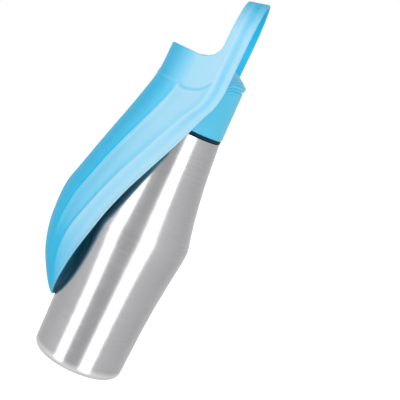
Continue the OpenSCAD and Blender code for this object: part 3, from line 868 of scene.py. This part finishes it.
strap, strap_places = grid("trough_strap", len(STRAP_STATIONS) - 1, STRAP_ROWS)
for vertex, (column, row) in zip(strap.data.vertices, strap_places):
    u = STRAP_STATIONS[column]
    vertex.co = strap_point(u, row, False)
    # Painted shade: the strap's top deeper than its feet, and its inside deep throughout.
    strap_tone_with_shade = tone_outside(u, COLLAR_TOP) - CROWN_PAINTED_SHADE * crown(row) ** 4
    partner[whereabouts(vertex.co)] = (strap_point(u, row, True), strap_tone_with_shade, STRAP_INSIDE_SHADE)
print("strap:", len(strap.data.polygons), "faces")

# %% [markdown]
# The two sheets are joined and their meeting points merged. Solidify then gives the sheet a
# second skin and a rim. Its second skin would copy the relief of the outside, and the real
# inside is smooth but for the oval floor, so each inner point is moved to its own place.

# %% Walls
bpy.ops.object.select_all(action="DESELECT")
strap.select_set(True)
sheet.select_set(True)
bpy.context.view_layer.objects.active = sheet
bpy.ops.object.join()
trough = sheet
trough.name = "silicone_trough"
bpy.ops.object.mode_set(mode="EDIT")
bpy.ops.mesh.select_all(action="SELECT")
bpy.ops.mesh.remove_doubles(threshold=0.0005 * MM)
bpy.ops.mesh.normals_make_consistent(inside=False)
bpy.ops.object.mode_set(mode="OBJECT")

front = min(trough.data.polygons, key=lambda face: face.center.y)
if front.normal.y > 0:
    trough.data.flip_normals()
outer_count = len(trough.data.vertices)
solid = trough.modifiers.new("wall", "SOLIDIFY")
solid.thickness = WALL * MM
solid.offset = -1
bpy.ops.object.modifier_apply(modifier="wall")

mesh = trough.data
tone = mesh.attributes.new("tone", "FLOAT", "POINT").data
for i in range(outer_count):
    inner_place, tone[i].value, tone[outer_count + i].value = partner[whereabouts(mesh.vertices[i].co)]
    mesh.vertices[outer_count + i].co = inner_place
mesh.update()

bpy.ops.object.shade_smooth()
give(trough, finishes["trough_silicone"])
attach(trough, "trough")
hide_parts("trough")
print("trough:", len(mesh.polygons), "faces")

# %% [markdown]
# The return spring is bright wire in six turns, between the button and the valve body. It gets
# shorter as the button goes in, which a piece of the frame can't do, so it is wound again as a
# piece of its own: a small circle is the wire, and a Screw modifier carries it round and along.

# %% Return spring
SPRING_FRONT = -25.05
SPRING_BACK = -11.05
COIL_RADIUS = 4.3
WIRE = 0.7
WIRE_SIDES = 10
TURNS = 6
TURN_STEPS = 24
VALVE_HEIGHT = 222.5
QUARTER = math.pi / 2

bpy.ops.object.select_all(action="DESELECT")
bpy.ops.mesh.primitive_circle_add(
    vertices=WIRE_SIDES, radius=WIRE / 2 * MM, location=(COIL_RADIUS * MM, 0, 0), rotation=(QUARTER, 0, 0))
coil = bpy.context.object
coil.name = "button_spring"
bpy.ops.object.transform_apply(location=True, rotation=True, scale=True)
wind = coil.modifiers.new("wind", "SCREW")
wind.angle = 2 * math.pi
wind.iterations = TURNS
wind.screw_offset = (SPRING_BACK - SPRING_FRONT - WIRE) / TURNS * MM
wind.steps = wind.render_steps = TURN_STEPS
bpy.ops.object.modifier_apply(modifier="wind")

bpy.ops.object.mode_set(mode="EDIT")
bpy.ops.mesh.select_all(action="SELECT")
bpy.ops.mesh.fill_holes(sides=0)
bpy.ops.mesh.select_all(action="SELECT")
bpy.ops.mesh.normals_make_consistent(inside=False)
bpy.ops.object.mode_set(mode="OBJECT")
coil.rotation_euler = (-QUARTER, 0, 0)
coil.location = (0, (SPRING_FRONT + WIRE / 2) * MM, VALVE_HEIGHT * MM)
bpy.ops.object.transform_apply(location=True, rotation=True, scale=True)
bpy.ops.object.shade_smooth_by_angle(angle=math.radians(50))

give(coil, finishes["bright_steel"])
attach(coil, "head")
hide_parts("return_spring")
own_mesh(coil)
ys = [v.co.y / MM for v in coil.data.vertices]
print("spring:", len(coil.data.polygons), "faces, from", round(min(ys), 2), "to", round(max(ys), 2))

# %% [markdown]
# A steel bottle is lit by what it mirrors. Two tall soft boxes stand to the left and right of
# the camera and give the two white stripes on the steel. Their widths and angles set where a
# stripe begins and ends, so they were found from the stripes in the picture.

# %% Soft boxes
STAND_AT = Vector((0, 0, 0.15))
BOX_HEIGHT = 1.7
BOX_DISTANCE = 1.2


def softbox(name, from_camera, width, watts):
    """A tall soft light, turned by an angle in degrees from the camera's side."""
    light = bpy.data.lights.new(name, "AREA")
    light.shape = "RECTANGLE"
    light.size = width
    light.size_y = BOX_HEIGHT
    light.energy = watts
    lamp = bpy.data.objects.new(name, light)
    direction = towards(CAMERA_AZIMUTH + math.radians(from_camera), 0)
    lamp.location = STAND_AT + direction * BOX_DISTANCE
    lamp.rotation_mode = "QUATERNION"
    lamp.rotation_quaternion = direction.to_track_quat("Z", "Y")
    bpy.context.collection.objects.link(lamp)
    print(name, "at", [round(v, 2) for v in lamp.location])


softbox("left_box", from_camera=-38.3, width=0.462, watts=7.3)
softbox("right_box", from_camera=32.3, width=0.594, watts=9.4)

# %% [markdown]
# The room is a plain white studio. The camera sees it pure white, the steel mirrors walls whose
# grey changes from side to side, and everything else gets an even, weaker light, so that the
# pale colours don't wash out. The background could be a white wall, but a world has no edges.

# %% White room
AMBIENT = 0.50
WALL_GREYS = [(0.0, 0.80), (0.28, 0.80), (0.5, 0.88), (0.75, 1.0), (1.0, 0.69)]

world = bpy.data.worlds.new("white_room")
world.use_nodes = True
bpy.context.scene.world = world
room = Finish("room", world.node_tree)
camera_ray = room.node("ShaderNodeLightPath", output="Is Camera Ray")
glossy_ray = room.node("ShaderNodeLightPath", output="Is Glossy Ray")
transmission_ray = room.node("ShaderNodeLightPath", output="Is Transmission Ray")
seen = (camera_ray + transmission_ray).at_most(1)
direction = room.node("ShaderNodeTexCoord", output="Generated")
across = room.node("ShaderNodeSeparateXYZ", {}, {"Vector": direction}, output="X")
walls = room.ramp(across * 0.5 + 0.5, [(position, grey(shade)) for position, shade in WALL_GREYS])
strength = glossy_ray * (walls - AMBIENT) + seen * (1 - AMBIENT) + AMBIENT
background = room.node("ShaderNodeBackground", {}, {"Color": rgb(1, 1, 1), "Strength": strength})
room.node("ShaderNodeOutputWorld", {}, {"Surface": background})
print("room:", len(room.tree.nodes), "nodes")

# %% [markdown]
# The floor is matt and pale, and glows just enough to meet the white room without an edge, while
# it keeps the bottle's soft shadow. Mirrored rays from the lower part of the bottle point a
# little down, so the floor lets them through and the stripes run on to the foot.

# %% Floor
FLOOR_SIZE = 6
FLOOR_GLOW = 0.63

bpy.ops.object.select_all(action="DESELECT")
bpy.ops.mesh.primitive_plane_add(size=FLOOR_SIZE, location=(0, 0, 0))
floor = bpy.context.object
floor.name = "floor"
ground = Finish("floor")
camera_ray = ground.node("ShaderNodeLightPath", output="Is Camera Ray")
glossy_ray = ground.node("ShaderNodeLightPath", output="Is Glossy Ray")
matt = ground.node("ShaderNodeBsdfDiffuse", {}, {"Color": grey(0.9)})
glow = ground.node("ShaderNodeEmission", {}, {"Color": grey(1), "Strength": camera_ray * FLOOR_GLOW})
lit = ground.node("ShaderNodeAddShader", {}, {0: matt, 1: glow})
clear = ground.node("ShaderNodeBsdfTransparent")
mixed = ground.node("ShaderNodeMixShader", {}, {"Fac": glossy_ray, 1: lit, 2: clear})
ground.node("ShaderNodeOutputMaterial", {}, {"Surface": mixed})
give(floor, ground.material)

bpy.context.scene.view_settings.view_transform = "Standard"
print("floor:", FLOOR_SIZE, "m wide")
